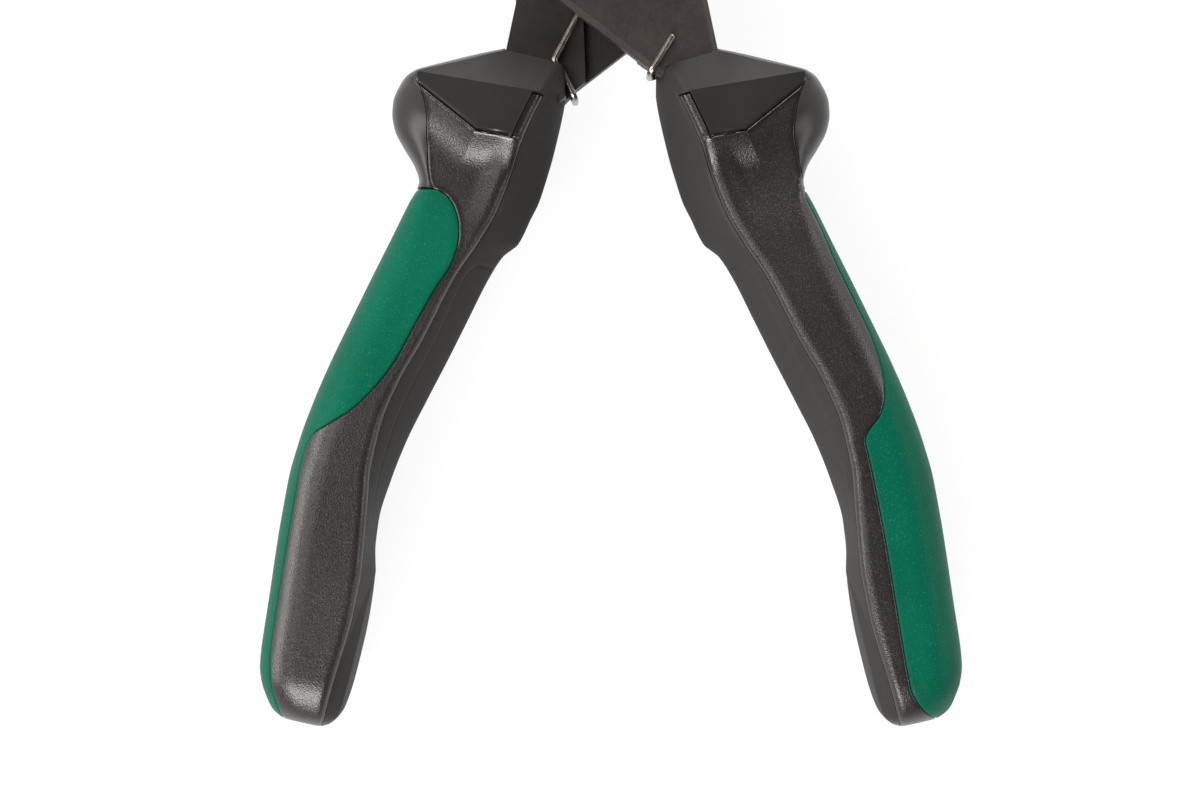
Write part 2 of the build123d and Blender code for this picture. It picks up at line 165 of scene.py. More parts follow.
CREASE = [
    (25.0, 7.0, 25.1), (30.7, 12.6, 30.7), (37.5, 13.7, 37.5), (42.0, 14.9, 42.2), (46.4, 15.4, 46.4),
]
FRONT_COLOUR = [
    (25.0, 11.3, 24.85), (28.0, 17.3, 27.8), (30.7, 23.3, 30.7), (37.5, 22.9, 32.3), (40.5, 21.3, 36.0),
    (43.0, 20.6, 40.0), (46.4, 20.9, 47.0), (46.6, 20.95, 47.3), (47.6, 20.75, 48.2), (48.8, 20.95, 49.0),
    (52.9, 22.15, 52.9), (58.1, 23.3, 58.1), (64.2, 25.0, 64.2), (70.3, 26.6, 70.3), (75.0, 27.1, 75.0),
    (78.0, 26.8, 78.0), (81.0, 25.5, 81.0), (82.7, 23.6, 82.7), (84.2, 22.7, 84.2), (88.0, 22.9, 88.0),
    (98.7, 23.1, 98.7), (116.1, 23.0, 116.1), (120.4, 23.1, 120.4), (122.4, 23.7, 122.5),
    (125.0, 25.2, 124.9), (127.3, 27.0, 126.55),
]
REAR_COLOUR = [
    (25.0, 11.3, 24.85), (28.0, 17.3, 27.8), (30.7, 23.3, 30.7), (37.5, 22.9, 32.3), (40.5, 21.3, 36.0),
    (43.0, 20.6, 40.0), (46.4, 18.6, 46.6), (46.6, 18.3, 46.7), (46.9, 17.3, 46.95), (47.5, 16.3, 47.5),
    (48.9, 14.95, 48.9), (51.5, 13.85, 51.5), (53.8, 13.55, 53.8), (56.9, 13.95, 56.9), (60.6, 15.5, 60.6),
    (67.4, 17.85, 67.4), (72.0, 19.4, 72.0), (75.9, 21.4, 75.9), (80.1, 24.5, 80.1), (82.6, 27.4, 82.6),
    (84.4, 29.4, 84.4), (86.4, 30.1, 86.4), (90.0, 30.4, 90.0), (105.7, 30.3, 105.7),
    (115.8, 30.1, 115.8), (120.1, 29.3, 120.3), (122.7, 28.4, 122.7), (125.0, 27.5, 124.9),
    (127.3, 27.0, 126.55),
]
OUTER_SIDE = [
    (25.0, 11.75, 24.25), (28.0, 18.2, 26.95), (30.7, 24.3, 29.95), (34.0, 25.6, 31.0), (37.5, 26.6, 32.9),
    (39.0, 27.0, 34.6), (40.5, 26.85, 36.4), (42.0, 26.0, 38.8), (43.5, 24.2, 41.2), (45.0, 22.1, 43.7),
    (46.0, 21.15, 45.8), (46.6, 21.35, 47.0), (47.4, 21.6, 47.7), (49.0, 22.05, 48.9), (54.7, 23.8, 54.7),
    (61.0, 25.7, 61.0), (67.2, 27.5, 67.2), (73.5, 29.3, 73.5), (79.7, 30.8, 79.7), (85.8, 31.9, 85.8),
    (91.9, 32.5, 91.9), (97.9, 32.55, 97.9), (109.8, 32.3, 109.8), (115.7, 32.2, 115.7),
    (119.0, 31.95, 119.0), (121.5, 31.3, 121.4), (124.3, 30.2, 123.6), (126.2, 29.3, 125.1),
    (127.3, 28.1, 126.2),
]

# Heights of the seam and the palm, and width of the outer side's rounding, by row.
SEAM_HEIGHT = [
    (25.0, 3.9), (28.0, 6.9), (30.7, 9.4), (33.0, 9.75), (37.5, 9.6), (40.0, 8.8), (42.5, 7.9), (46.5, 7.4),
    (52.0, 7.6), (59.0, 8.3), (68.5, 9.1), (79.5, 9.6), (91.0, 9.7), (103.0, 9.65), (112.0, 9.4),
    (119.0, 9.1), (128.0, 8.7),
]
PALM_HEIGHT = [
    (25.0, 8.65), (46.5, 8.65), (52.0, 8.9), (59.0, 9.6), (68.5, 10.4), (79.5, 10.9), (91.0, 11.0),
    (103.0, 10.95), (112.0, 10.7), (119.0, 10.4), (128.0, 10.0),
]
OUTER_WIDTH = [(46.0, 2.0), (50.0, 3.6), (58.0, 5.6), (80.0, 6.4), (128.0, 6.4)]

# Share of the inner side's width that the flat cut below the waist takes, as (row, share).
WAIST_CUT = [
    (25.0, 0.12), (97.0, 0.12), (103.0, 0.002), (103.4, 0.002), (106.0, 0.30), (110.0, 0.74),
    (114.0, 0.95), (117.4, 0.97), (127.3, 0.97),
]


# shapes

def hermite(rows, knots, values):
    """A smooth curve through the knots: cubic pieces whose slopes never overshoot."""
    knots = np.asarray(knots, float)
    values = np.asarray(values, float)
    step = np.diff(knots)
    slope = np.diff(values) / step
    both = slope[:-1] * slope[1:]
    middle = np.where(both > 0, 2 * both / (slope[:-1] + slope[1:] + 1e-12), 0.0)
    tangent = np.concatenate([[slope[0]], middle, [slope[-1]]])
    rows = np.clip(rows, knots[0], knots[-1])
    place = np.clip(np.searchsorted(knots, rows) - 1, 0, len(step) - 1)
    t = (rows - knots[place]) / step[place]
    low = (1 + 2 * t) * (1 - t) ** 2 * values[place] + t * (1 - t) ** 2 * step[place] * tangent[place]
    high = t * t * (3 - 2 * t) * values[place + 1] + t * t * (t - 1) * step[place] * tangent[place + 1]
    return low + high


def line_down(table, rows):
    """Across and down of one handle line at each row."""
    table = np.array(table)
    return np.stack([hermite(rows, table[:, 0], table[:, 1]), hermite(rows, table[:, 0], table[:, 2])], -1)


def level_down(table, rows):
    """The height, width or share that a table gives at each row."""
    table = np.array(table)
    return hermite(rows, table[:, 0], table[:, 1])


def gather(count, pull):
    """Shares from 0 to 1 that crowd together at both ends."""
    t = np.linspace(-1, 1, count)
    return (1 + np.tanh(pull * t) / math.tanh(pull)) / 2


def quarter_sine(count):
    """Shares from 0 to 1 that crowd together at 1."""
    return np.sin(np.linspace(0, math.pi / 2, count))


def smooth(share):
    """From 0 to 1 without a corner at either end."""
    share = np.clip(share, 0, 1)
    return share * share * (3 - 2 * share)


def between(first, last, share):
    """Points of every row from the first line to the last one, at the given shares of the way."""
    share = np.broadcast_to(share, (len(first), share.shape[-1]))
    return first[:, None] + (last - first)[:, None] * share[..., None]


def face_height(across, down):
    """Height of the broad face: a slope up to the fold line, a flat guard to the ridge, a small groove,
    two hollow scoops that fall away from the ridge as squares, and the palm below. The scoops share a
    hollow that is deepest at the neck."""
    slope = np.clip(SLOPE - SLOPE_EASING * (across - SLOPE_CORNER_X), 1.0, SLOPE)
    guard = GUARD_HEIGHT - slope * np.clip(FOLD_ROW - down, 0, None)
    below = down - RIDGE_ROW
    beside = RIDGE_SLOPE[0] * (across - RIDGE_CORNER_X) + RIDGE_SLOPE[1] * below
    past = np.maximum(below, beside)
    rounded = np.sqrt(np.clip(past, 0, None) ** 2 + RIDGE_BEND ** 2) - RIDGE_BEND
    fall = np.clip(rounded / SCOOP_RUN, 0, 1)
    hollow = smooth((across - HOLLOW_EDGE_X - HOLLOW_SLANT * below) / HOLLOW_SIDE)
    hollow = hollow * (1 - smooth((down - HOLLOW_END) / HOLLOW_RUN))
    palm = level_down(PALM_HEIGHT, down) - HOLLOW_DEPTH * hollow
    above = np.clip(1 + past / RIDGE_ROUND, 0, 1)
    guard = guard - RIDGE_ROUND * (1 - np.sqrt(1 - above ** 2))
    height = np.where(past > 0, palm + (GUARD_HEIGHT - palm) * (1 - fall) ** 2, guard)
    groove = GROOVE_DEPTH * np.exp(-(past / RIDGE_GROOVE_WIDTH) ** 2)
    return height - groove * smooth((RIDGE_END_X - across) / RIDGE_END_RUN)


def outer_side_shares():
    """Shares across the outer side, close together at the colour line and at the silhouette."""
    return np.concatenate([0.30 * gather(14, 2.0)[1:], 0.30 + 0.70 * quarter_sine(20)[1:]])


def outer_side_fall(rows, across, colour, outer):
    """Share of the height that is left across the outer side: part of a rounded corner, cut off at the
    guard, where it leaves an edge, and the whole quarter below the neck."""
    blend = smooth((rows - SIDE_ROW) / SIDE_RUN)
    width = (outer[:, 0] - colour[:, 0]) * (1 - blend) + level_down(OUTER_WIDTH, rows) * blend
    full = (GUARD_FULLNESS + (1 - GUARD_FULLNESS) * blend)[:, None]
    share = np.clip((outer[:, :1] - across) / np.maximum(width, 0.3)[:, None], 0, 1)
    top = (1 - (1 - full) ** SIDE_POWER) ** (1 / SIDE_POWER)
    return (1 - (1 - full * share) ** SIDE_POWER) ** (1 / SIDE_POWER) / top


def handle_rows():
    """Rows down the handle, closer together at the folds and at the rounded end."""
    slope = TOP_ROW + (FOLD_ROW - TOP_ROW) * gather(12, 1.2)
    guard = FOLD_ROW + (RIDGE_ROW - FOLD_ROW) * gather(22, 2.2)
    scoop = RIDGE_ROW + (SCOOP_END - RIDGE_ROW) * gather(44, 2.0)
    palm = COLOUR_ROW + (END_START - COLOUR_ROW) * gather(150, 1.5)
    end = END_START + (END_ROW - END_START) * quarter_sine(30)
    return [slope, guard, scoop, palm, end]


def handle_face(rows, colour_line):
    """One broad face of the handle. Across each row: inner side, rounded edge, face, outer side.
    Returns the points and the columns at the seam, past the rounded edge and at the colour line."""
    inner, seam, crease, colour, outer = [
        line_down(table, rows) for table in (INNER_SIDE, SEAM, CREASE, colour_line, OUTER_SIDE)
    ]
    below_neck = np.clip((rows - NECK_ROW) / CREASE_RUN, 0, 1)[:, None]
    crease = crease * (1 - below_neck) + (seam + CREASE_PLACE * (colour - seam)) * below_neck
    room = np.maximum(crease[:, :1] - seam[:, :1], 0.1)
    edge = seam + (crease - seam) * np.minimum(EDGE_ROUND / room, 0.8)
    rise, crease_rise = inner_side_shares(rows)
    angle = np.linspace(0, math.pi / 2, 10)[1:]
    plan = [
        between(inner, seam, rise ** 2),
        between(seam, edge, 1 - np.cos(angle)),
        between(edge, crease, gather(18, 1.6)[1:]),
        between(crease, colour, gather(25, 2.2)[1:]),
        between(colour, outer, outer_side_shares()),
    ]
    counts = [part.shape[1] for part in plan]
    seam_column = counts[0] - 1
    edge_column = seam_column + counts[1]
    colour_column = sum(counts[:4]) - 1
    plan = np.concatenate(plan, 1)
    across, down = plan[..., 0], plan[..., 1]
    height = face_height(across, down)
    shoulder = height[:, edge_column][:, None]
    seam_height = level_down(SEAM_HEIGHT, rows)[:, None]
    height[:, :seam_column + 1] = inner_side_height(rows[:, None], rise, crease_rise, seam_height)
    height[:, seam_column + 1:edge_column + 1] = seam_height + (shoulder - seam_height) * np.sin(angle)
    groove = np.exp(-(np.abs(across - seam[:, :1]) / GROOVE_WIDTH) ** 2)
    height = height - GROOVE_DEPTH * groove * np.clip((rows[:, None] - TOP_ROW) / 2.0, 0, 1)
    height = height * outer_side_fall(rows, across, colour, outer)
    run = np.clip((rows - END_START) / (END_ROW - END_START), 0, 1)
    height = height * np.sqrt(1 - run ** END_POWER)[:, None]
    height[:, [0, -1]] = 0.0
    return np.stack([across, -down, height], -1), (seam_column, edge_column, colour_column)


def inner_side_shares(rows):
    """Roots of the shares of the way in from the silhouette to the seam, and the root at the crease,
    where the flat cut ends."""
    crease_rise = np.sqrt(level_down(WAIST_CUT, rows))[:, None]
    upper = 1 - (1 - np.linspace(0, 1, 20)[1:]) ** 1.7
    rise = [np.linspace(0, 1, 11) * crease_rise, crease_rise + upper * (1 - crease_rise)]
    return np.concatenate(rise, 1), crease_rise


def inner_side_height(rows, rise, crease_rise, top):
    """Height up the inner side: a mix of the distance in from the silhouette and its root. Below the
    waist a flat cut takes over beside the silhouette: a wall with a rounded top, then a slope up to
    the crease."""
    full = SIDE_BULGE + (1 - SIDE_BULGE) * np.clip((BULGE_ROW - rows) / BULGE_RUN, 0, 1)
    bulge = top * (full * rise + (1 - full) * rise ** 2)
    cut_top = top * (SIDE_BULGE * crease_rise + (1 - SIDE_BULGE) * crease_rise ** 2)
    wall = np.clip(rise / (CUT_FOOT * crease_rise), 0, 1)
    wall = np.sqrt(1 - (1 - wall) ** 2)
    flat = cut_top * (CUT_WALL * wall + (1 - CUT_WALL) * (rise / crease_rise) ** 2)
    return np.where((rows > WAIST_ROW) & (rise < crease_rise), flat, bulge)


def grid_faces(tall, wide, turned):
    """Squares of a grid of points, counted row by row."""
    number = np.arange(tall * wide).reshape(tall, wide)
    corners = [number[:-1, :-1], number[:-1, 1:], number[1:, 1:], number[1:, :-1]]
    squares = np.stack(corners, -1).reshape(-1, 4)
    return squares[:, ::-1] if turned else squares


def all_points(sheets):
    return np.concatenate([sheet.reshape(-1, 3) for sheet in sheets])


def weld(sheets):
    """Joins grids of points into one surface: points that coincide become one. Returns the points, the
    squares and which point of the grids each one was."""
    points = all_points([sheet for sheet, turned in sheets])
    faces = []
    start = 0
    for sheet, turned in sheets:
        faces.append(grid_faces(sheet.shape[0], sheet.shape[1], turned) + start)
        start += sheet.shape[0] * sheet.shape[1]
    faces = np.concatenate(faces)
    key = np.round(points * 2000).astype(np.int64)
    first, place = np.unique(key, axis=0, return_index=True, return_inverse=True)[1:]
    return points[first], place.reshape(-1)[faces], first


def corner_normals(points, faces):
    """The direction in which each point faces: the mean of its squares' directions."""
    across = points[faces[:, 2]] - points[faces[:, 0]]
    along = points[faces[:, 3]] - points[faces[:, 1]]
    facing = np.cross(across, along)
    normals = np.zeros_like(points)
    for corner in range(4):
        np.add.at(normals, faces[:, corner], facing)
    return normals / np.maximum(np.linalg.norm(normals, axis=1, keepdims=True), 1e-9)


def rim_edges(faces):
    """Edges that only one square uses, in that square's order."""
    edges = np.concatenate([faces[:, [k, (k + 1) % 4]] for k in range(4)])
    edges = edges[edges[:, 0] != edges[:, 1]]
    key = np.sort(edges, axis=1)
    place, count = np.unique(key, axis=0, return_inverse=True, return_counts=True)[1:]
    return edges[count[place.reshape(-1)] == 1]


def distance_to(points, border, batch=4000):
    """Distance from each point to the nearest point of the border, worked out in batches."""
    distance = np.empty(len(points))
    for start in range(0, len(points), batch):
        part = points[start:start + batch]
        distance[start:start + batch] = np.sqrt(((part[:, None] - border[None]) ** 2).sum(-1).min(1))
    return distance


def skin_piece(sheets):
    """A moulded skin: its outer face has a small rounded lip at every edge, then a wall and an inner face.
    Returns the points, the squares and how near each point is to an edge, less so down the handle."""
    points, faces, first = weld(sheets)
    inside = all_points([let_down(sheet, COVER_THICKNESS) for sheet, turned in sheets])[first]
    normals = corner_normals(points, faces)
    rim = rim_edges(faces)
    distance = distance_to(points, points[np.unique(rim)])
    radius = np.where(points[:, 1] > -RIDGE_ROW - 0.8, RIDGE_LIP * LIP_RADIUS, LIP_RADIUS)
    near = np.clip(1 - distance / radius, 0, 1)
    depth = radius * (1 - np.sqrt(1 - near ** 2))
    inward = inside - points
    inward = inward / np.maximum(np.linalg.norm(inward, axis=1, keepdims=True), 1e-9)
    outside = points + (0.5 * inward - 0.5 * normals) * depth[:, None]
    count = len(points)
    wall = np.stack([rim[:, 1], rim[:, 0], rim[:, 0] + count, rim[:, 1] + count], -1)
    fade = RIM_FADE * smooth((-points[:, 1] - RIM_FADE_ROW) / RIM_FADE_RUN)
    nearness = smooth(1 - distance / RIM_WIDTH) * (1 - fade)
    all_faces = np.concatenate([faces, faces[:, ::-1] + count, wall])
    return np.concatenate([outside, inside]), all_faces, np.concatenate([nearness, nearness])


def to_side(points, side):
    """From the closed arm in millimetres to the model in metres, on the right or the left half.
    The handles lean out a little with the distance down."""
    cos, sin = math.cos(HALF_OPENING), math.sin(HALF_OPENING)
    down = -points[..., 1]
    across = points[..., 0] + LEAN * (down - LEAN_MIDDLE) * np.clip((down - LEAN_START) / LEAN_RUN, 0, 1)
    x = across * cos + down * sin
    y = across * sin - down * cos
    z = points[..., 2]
    if side == "left":
        x, z = -x, -z
    return np.stack([x, y, z], -1) * MILLIMETRE + PIVOT


def new_piece(name, points, faces, material, plan=None, share=None):
    """A mesh object from arrays of points in metres and of squares, shaded smooth. It can carry a plan
    of its points for the material, and a named share between 0 and 1 for each point. Squares with two
    neighbouring corners in one point become triangles, and those without any area are left out."""
    faces = faces[(faces[:, 0] != faces[:, 2]) & (faces[:, 1] != faces[:, 3])]
    kept = faces != np.roll(faces, -1, axis=1)
    counts = kept.sum(1)
    whole = counts >= 3
    corners = faces[whole][kept[whole]]
    counts = counts[whole]
    starts = np.concatenate([[0], np.cumsum(counts)[:-1]])
    mesh = bpy.data.meshes.new(name)
    mesh.vertices.add(len(points))
    mesh.vertices.foreach_set("co", points.astype(np.float32).ravel())
    mesh.loops.add(len(corners))
    mesh.loops.foreach_set("vertex_index", corners.astype(np.int32))
    mesh.polygons.add(len(counts))
    mesh.polygons.foreach_set("loop_start", starts.astype(np.int32))
    mesh.polygons.foreach_set("loop_total", counts.astype(np.int32))
    if plan is not None:
        layer = mesh.uv_layers.new(name="plan")
        layer.data.foreach_set("uv", plan[corners].astype(np.float32).ravel())
    if share is not None:
        layer = mesh.attributes.new(share[0], "FLOAT", "POINT")
        layer.data.foreach_set("value", share[1].astype(np.float32))
    mesh.update(calc_edges=True)
    mesh.validate()
    mesh.shade_smooth()
    mesh.set_sharp_from_angle(angle=math.radians(24))
    piece = bpy.data.objects.new(name, mesh)
    bpy.context.scene.collection.objects.link(piece)
    mesh.materials.append(material)
    return piece


def both_faces():
    """The handle's two broad faces, the second one turned over, with the columns and rows that part
    the cover and the inlay from the moulding."""
    sections = handle_rows()
    rows = np.concatenate(sections)
    front, columns = handle_face(rows, FRONT_COLOUR)
    rear, columns = handle_face(rows, REAR_COLOUR)
    rear = rear * np.array([1.0, 1.0, -1.0])
    starts = np.cumsum([len(part) for part in sections])
    lines = (int(np.searchsorted(rows, STRIP_ROW)), starts[1], starts[2])
    return ((front, True), (rear, False)), columns, lines


def moulding(side, material):
    """The hard moulding: the whole handle surface, let down under the cover and the inlay. Its share
    "inward" is 1 where the surface faces the other handle."""
    faces_of_handle, columns, lines = both_faces()
    sheets = []
    for face, turned in faces_of_handle:
        bed = let_down(face, COVER_SINK)
        blocks = surface_blocks(face, columns, lines) + bed_blocks(face, bed, columns, lines)
        sheets += [(block, turned) for block in blocks + [top_closure(face)]]
    points, faces, first = weld(sheets)
    plan = np.stack([-points[:, 1] * MILLIMETRE, points[:, 2] * MILLIMETRE], -1)
    inward = smooth((-corner_normals(points, faces)[:, 0] - INWARD_START) / INWARD_RUN)
    name = side + "_hard_moulding"
    return new_piece(name, to_side(points, side), faces, material, plan, ("inward", inward))


def let_down(face, depth):
    """The same face moved inwards: less height in proportion, nearer the middle towards the outer side,
    and shorter at the lower end."""
    across, down, height = face[..., 0], -face[..., 1], face[..., 2]
    silhouette = np.array(OUTER_SIDE)
    outer = np.interp(down, silhouette[:, 2], silhouette[:, 1])
    outward = np.clip((across - outer + OUTER_REACH) / OUTER_REACH, 0, 1) ** 2
    tall = np.array(PALM_HEIGHT)
    tall = np.interp(down, tall[:, 0], tall[:, 1])
    lower = np.clip((down - END_START) / (END_ROW - END_START), 0, 1) ** 2
    return np.stack([across - depth * outward, -down + depth * lower, height * (1 - depth / tall)], -1)


def surface_blocks(face, columns, lines):
    """The parts of the face that the moulding shows: inner side, slope, guard and the ear of the guard."""
    seam, edge, colour = columns
    strip, ridge, top = lines
    blocks = [face[:, :seam + 1], face[:strip, seam:]]
    return blocks + [face[strip - 1:ridge, edge:], face[ridge - 1:top, colour:]]


def bed_blocks(face, bed, columns, lines):
    """The let-down parts under the cover and the inlay, and the little walls up to the surface."""
    seam, edge, colour = columns
    strip, ridge, top = lines
    blocks = [bed[strip:ridge + 1, seam:edge + 1], bed[ridge:top, seam:colour + 1]]
    blocks += [bed[top:, seam:], bed[top - 1:top + 1, seam:colour + 1]]
    blocks.append(np.stack([face[strip - 1, seam:edge + 1], bed[strip, seam:edge + 1]], 0))
    blocks.append(np.stack([face[ridge - 1, edge:colour + 1], bed[ridge, edge:colour + 1]], 0))
    blocks.append(np.stack([face[top - 1, colour:], bed[top, colour:]], 0))
    seam_bed = np.concatenate([face[strip - 1:strip, seam], bed[strip:, seam]])
    blocks.append(np.stack([face[strip - 1:, seam], seam_bed], 1))
    for first, last, column in ((strip, ridge, edge), (ridge, top, colour)):
        low = np.concatenate([face[first - 1:first, column], bed[first:last + 1, column]])
        high = np.concatenate([face[first - 1:last, column], face[last - 1:last, column]])
        blocks.append(np.stack([low, high], 1))
    return blocks


def top_closure(face):
    """From the top of the slope down beside the tang and across to the middle."""
    edge = face[0]
    sign = np.sign(edge[:, 2].sum())
    bottom = np.full(len(edge), -CLOSURE_ROW)
    inside = CLOSURE_X + (edge[:, 0] - edge[0, 0]) * CLOSURE_NARROWING
    low = np.stack([inside, bottom, np.clip(np.abs(edge[:, 2]), 0, TANG_HALF) * sign], -1)
    middle = np.stack([inside, bottom, edge[:, 2] * 0.0], -1)
    return np.stack([middle, low, edge], 0)


def cover(side, material):
    """The grained cover: both faces between the seam and the colour line, joined round the lower end,
    with a narrow strip that runs up the guard's inner edge."""
    faces_of_handle, (seam, edge, colour), (strip, ridge, top) = both_faces()
    sheets = []
    for face, turned in faces_of_handle:
        sheets.append((face[ridge:, seam:colour + 1], turned))
        sheets.append((face[strip:ridge + 1, seam:edge + 1], turned))
    points, faces, rim = skin_piece(sheets)
    return new_piece(side + "_grained_cover", to_side(points, side), faces, material, share=("rim", rim))


def inlay(side, material):
    """The coloured inlay: from the colour line on one face round the outer side to the one on the other."""
    faces_of_handle, (seam, edge, colour), (strip, ridge, top) = both_faces()
    points, faces, rim = skin_piece([(face[top:, colour:], turned) for face, turned in faces_of_handle])
    name = side + "_colour_inlay_skin"
    return new_piece(name, to_side(points, side), faces, material, share=("rim", rim))


# spring wire

def rounded_path(corners, radius):
    """A path along straight runs with a circular bend at each inner corner."""
    corners = np.array(corners, float)
    path = [corners[0]]
    for before, corner, after in zip(corners, corners[1:], corners[2:]):
        inward = (corner - before) / np.linalg.norm(corner - before)
        outward = (after - corner) / np.linalg.norm(after - corner)
        angle = math.acos(np.clip(inward @ outward, -1, 1))
        reach = radius * math.tan(angle / 2)
        start = corner - inward * reach
        side = outward - inward * (outward @ inward)
        side = side / np.linalg.norm(side)
        turns = np.linspace(0, angle, 10)[:, None]
        path += list(start + inward * radius * np.sin(turns) + side * radius * (1 - np.cos(turns)))
    path.append(corners[-1])
    return np.array(path)


def with_ends(along):
    """The same list with its first and its last entry three times more, for the wire's rounded ends."""
    return np.concatenate([np.repeat(along[:1], 3, 0), along, np.repeat(along[-1:], 3, 0)])


def wire(path, around=20):
    """A ring of points carried along a path without twisting, with slightly rounded ends."""
    heading = np.gradient(path, axis=0)
    heading = heading / np.linalg.norm(heading, axis=1, keepdims=True)
    first = np.cross(heading[0], [0.3, 0.2, 0.93])
    sideways = [first / np.linalg.norm(first)]
    for now in heading[1:]:
        next_side = sideways[-1] - now * (sideways[-1] @ now)
        sideways.append(next_side / np.linalg.norm(next_side))
    sideways = np.array(sideways)
    upward = with_ends(np.cross(heading, sideways))
    sideways = with_ends(sideways)
    spots = with_ends(path)
    spots[:3] += heading[0] * np.array([-0.16, -0.16, -0.08])[:, None]
    spots[-3:] += heading[-1] * np.array([0.08, 0.16, 0.16])[:, None]
    size = np.concatenate([[0.0, 0.55, 0.88], np.ones(len(path)), [0.88, 0.55, 0.0]]) * WIRE_RADIUS
    turn = np.linspace(0, 2 * math.pi, around + 1)[None, :, None]
    ring = np.cos(turn) * sideways[:, None] + np.sin(turn) * upward[:, None]
    return spots[:, None] + ring * size[:, None, None]


def rotated(point, angle):
    cos, sin = math.cos(angle), math.sin(angle)
    return (point[0] * cos - point[1] * sin, point[0] * sin + point[1] * cos)


def leg_start():
    """Where a leg leaves the coil, and its heading, with the pliers open."""
    angle = math.radians(-LEG_ANGLE)
    point = np.array([COIL_RADIUS * math.cos(angle), COIL_RADIUS * math.sin(angle)])
    heading = np.array([math.sin(angle), -math.cos(angle)])
    return point, heading


def coil_turns():
    """The coil: a helix round the shank, running level on into both legs."""
    first_angle = 180.0 + LEG_ANGLE
    turns = (first_angle + LEG_ANGLE + 360.0) / 360.0
    share = np.linspace(0, 1, 160)
    angle = np.radians(first_angle - share * turns * 360.0)
    height = LEG_HEIGHT * (2 * (share - 0.012 * np.sin(2 * math.pi * share)) - 1)
    helix = np.stack([COIL_RADIUS * np.cos(angle), COIL_RADIUS * np.sin(angle), height], -1)
    point, heading = leg_start()
    lead = point + heading * np.array([1.6, 0.8])[:, None]
    first = np.stack([-lead[:, 0], lead[:, 1], np.full(2, -LEG_HEIGHT)], -1)
    last = np.stack([lead[::-1, 0], lead[::-1, 1], np.full(2, LEG_HEIGHT)], -1)
    return np.concatenate([first, helix, last])


def leg_path(over, turn_at, end):
    """One leg: straight from the coil to the tang, round its edge and back along its face."""
    point, heading = leg_start()
    start = np.array([-point[0] - heading[0], point[1] + heading[1], -LEG_HEIGHT])
    corners = [start, start + np.array([-heading[0], heading[1], 0.0]) * LEG_LENGTH]
    face = TANG_FACE + WIRE_RADIUS + WIRE_GAP
    for x, y, z in ((*turn_at, -LEG_HEIGHT), (*over, -LEG_HEIGHT), (*over, face), (*end, face)):
        corners.append(np.array([*rotated((x, y), HALF_OPENING), z]))
    return rounded_path(corners, BEND_RADIUS)


def over_edge(edge_distance, corner_x, seat_x):
    """The point just inside the tang's inner edge where the wire goes over it. The edge is a slanting
    line at a distance from the pivot, which ends at the corner."""
    slope = math.radians(EDGE_SLOPE)
    foot = np.array([-math.sin(slope), -math.cos(slope)]) * edge_distance
    along = np.array([math.cos(slope), -math.sin(slope)])
    corner = foot + along * ((corner_x - foot[0]) / along[0])
    return (seat_x - SEAT_SIDE, corner[1] - SEAT_DROP - SEAT_REST)


def wire_piece(name, grid, material):
    points, faces, first = weld([(grid, True)])
    return new_piece(name, points * MILLIMETRE + PIVOT, faces, material)


def spring(material):
    """The coil, which winds between the two halves, and one leg on each half."""
    body = wire_piece("spring_coil", wire(coil_turns()), material)
    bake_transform(body)
    right = wire(leg_path(over_edge(16.7, 0.6, 2.05), (3.5, -26.2), (5.4, -21.9)))
    left = wire(leg_path(over_edge(18.9, 0.4, 1.15), (3.2, -25.6), (4.0, -23.4)))
    left = left * np.array([-1.0, 1.0, -1.0])
    for side, grid in (("right", right), ("left", left)):
        leg = wire_piece(side + "_spring_leg", grid, material)
        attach(leg, side + "_half")
    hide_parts("return_spring")


# materials

def new_material(name):
    material = bpy.data.materials.new(name)
    material.use_nodes = True
    nodes = material.node_tree.nodes
    links = material.node_tree.links
    shader = nodes["Principled BSDF"]
    place = nodes.new("ShaderNodeTexCoord")
    return material, nodes, links, shader, place.outputs["Object"]


def noise(nodes, links, place, scale, detail=3.0, roughness=0.55):
    texture = nodes.new("ShaderNodeTexNoise")
    texture.inputs["Scale"].default_value = scale
    texture.inputs["Detail"].default_value = detail
    texture.inputs["Roughness"].default_value = roughness
    links.new(place, texture.inputs["Vector"])
    return texture.outputs["Fac"]


def share_of(nodes, name):
    """The named share that the mesh carries at each point."""
    node = nodes.new("ShaderNodeAttribute")
    node.attribute_name = name
    return node.outputs["Fac"]


def ramp(nodes, links, value, low, high, first, last):
    """Values between low and high become colours between first and last."""
    colours = nodes.new("ShaderNodeValToRGB")
    colours.color_ramp.elements[0].position = low
    colours.color_ramp.elements[0].color = (*first, 1)
    colours.color_ramp.elements[1].position = high
    colours.color_ramp.elements[1].color = (*last, 1)
    links.new(value, colours.inputs["Fac"])
    return colours.outputs["Color"]


def rescale(nodes, links, value, low, high, first, last):
    """Values between low and high become values between first and last."""
    step = nodes.new("ShaderNodeMapRange")
    step.inputs["From Min"].default_value = low
    step.inputs["From Max"].default_value = high
    step.inputs["To Min"].default_value = first
    step.inputs["To Max"].default_value = last
    links.new(value, step.inputs["Value"])
    return step.outputs["Result"]


def bump(nodes, links, height, strength, distance, normal=None):
    node = nodes.new("ShaderNodeBump")
    node.inputs["Strength"].default_value = strength
    node.inputs["Distance"].default_value = distance
    links.new(height, node.inputs["Height"])
    if normal is not None:
        links.new(normal, node.inputs["Normal"])
    return node.outputs["Normal"]


